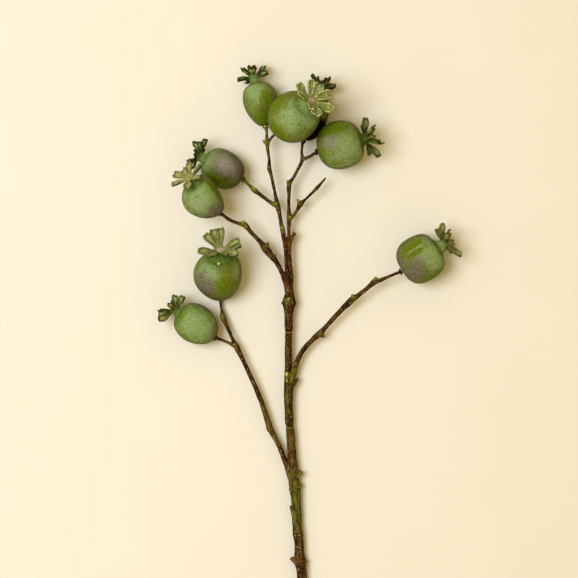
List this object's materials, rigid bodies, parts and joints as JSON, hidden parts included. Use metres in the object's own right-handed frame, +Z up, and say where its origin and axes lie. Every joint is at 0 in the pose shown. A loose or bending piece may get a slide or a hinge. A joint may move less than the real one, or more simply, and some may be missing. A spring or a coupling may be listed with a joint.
{
  "type": "spray of poppy seed heads",
  "caption": "Cut woody spray of green poppy seed heads, each a swollen capsule with a rayed crown, lying flat as a natural decoration.",
  "frame": {"origin": "small flat spot under the stem just above its cut end, where the spray rests on the surface", "axes": "+Y up the stem towards the seed heads, +X to the right as seen from above, +Z up from the surface"},
  "size_m": [0.2281, 0.4785, 0.0732],
  "materials": {
    "bark": "dark brown matte bark with olive-green nodes",
    "capsule_skin": "satin green plant skin with a grey-green bloom and purple-grey blush",
    "stigma": "matte grey-green with cream and tan rims"
  },
  "bodies": {
    "root": {"branch": "bark", "capsule_back": "capsule_skin", "capsule_front": "capsule_skin", "capsule_left_back": "capsule_skin", "capsule_left_front": "capsule_skin", "capsule_lower_left": "capsule_skin", "capsule_middle_left": "capsule_skin", "capsule_right": "capsule_skin", "capsule_top_left": "capsule_skin", "capsule_top_right": "capsule_skin", "crown_back": "stigma", "crown_front": "stigma", "crown_left_back": "stigma", "crown_left_front": "stigma", "crown_lower_left": "stigma", "crown_middle_left": "stigma", "crown_right": "stigma", "crown_top_left": "stigma", "crown_top_right": "stigma"}
  },
  "joints": []
}
